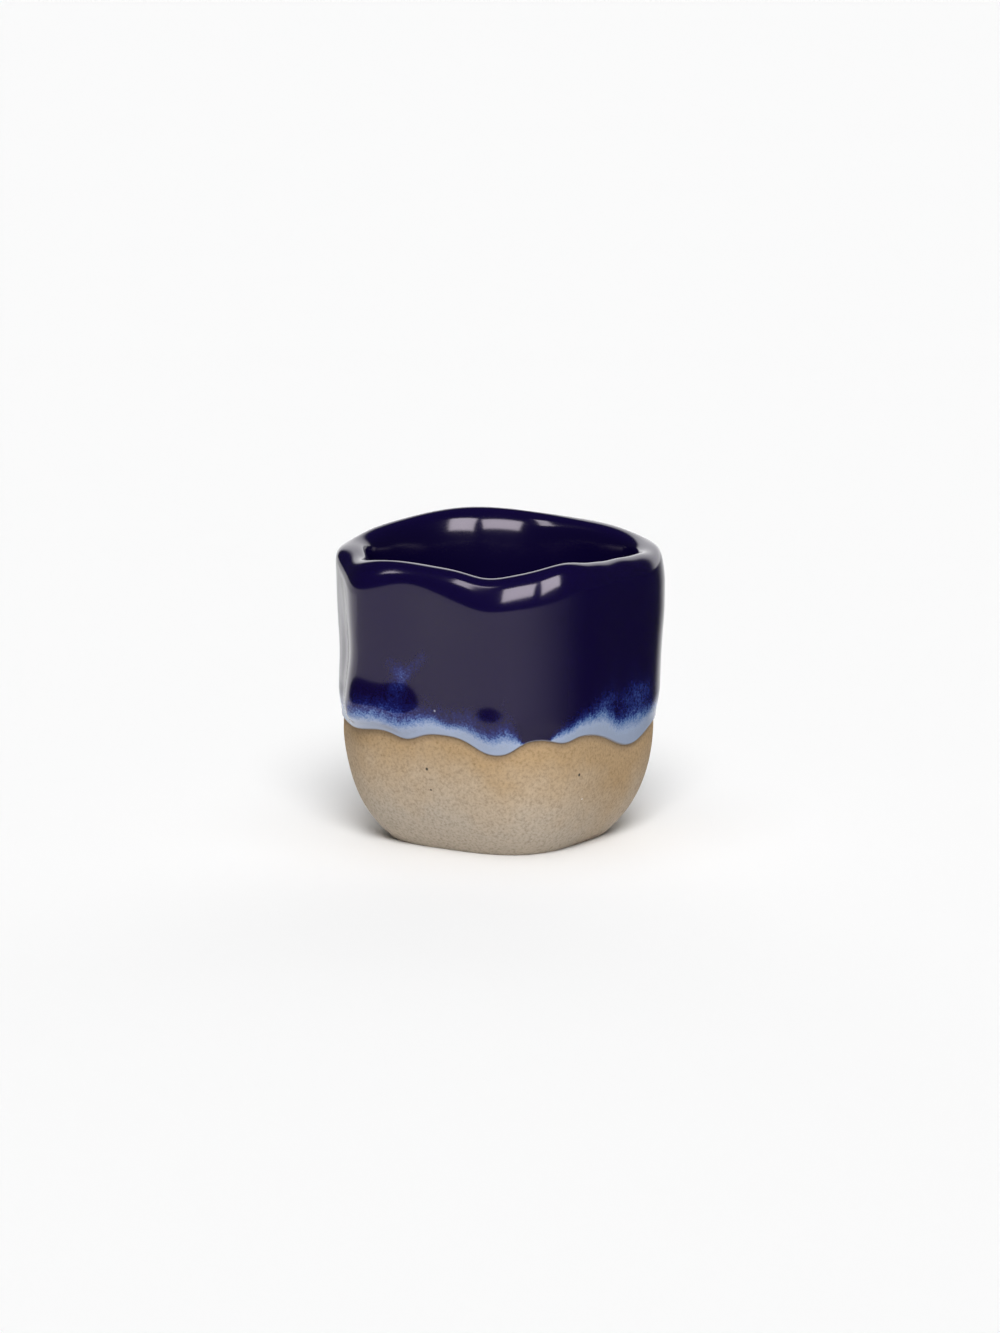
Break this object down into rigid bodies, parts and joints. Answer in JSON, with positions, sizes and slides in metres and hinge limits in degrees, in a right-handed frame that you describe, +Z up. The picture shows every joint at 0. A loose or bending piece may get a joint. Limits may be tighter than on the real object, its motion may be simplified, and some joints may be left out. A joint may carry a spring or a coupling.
{
  "type": "espresso cup",
  "caption": "Small hand-pinched stoneware cup with a rounded-square wall, rolled wavy rim, flat foot and glaze that runs to a wavy pale edge.",
  "frame": {"origin": "centre of the flat foot, on the surface that the cup stands on", "axes": "+Z up through the mouth; -Y out of the wide face on the left of the picture, +X out of the face on its right"},
  "size_m": [0.0588, 0.0602, 0.0628],
  "materials": {
    "stoneware": "matt unglazed clay with fine grain and a few dark specks",
    "cobalt_glaze": "deep cobalt glaze, very glossy",
    "pale_glaze": "milky pale blue pooled glaze, glossy"
  },
  "bodies": {
    "root": {"stoneware_body": "stoneware", "liner_glaze": "cobalt_glaze", "outer_glaze": "cobalt_glaze", "pale_run_right": "pale_glaze", "pale_run_left": "pale_glaze"}
  },
  "joints": []
}
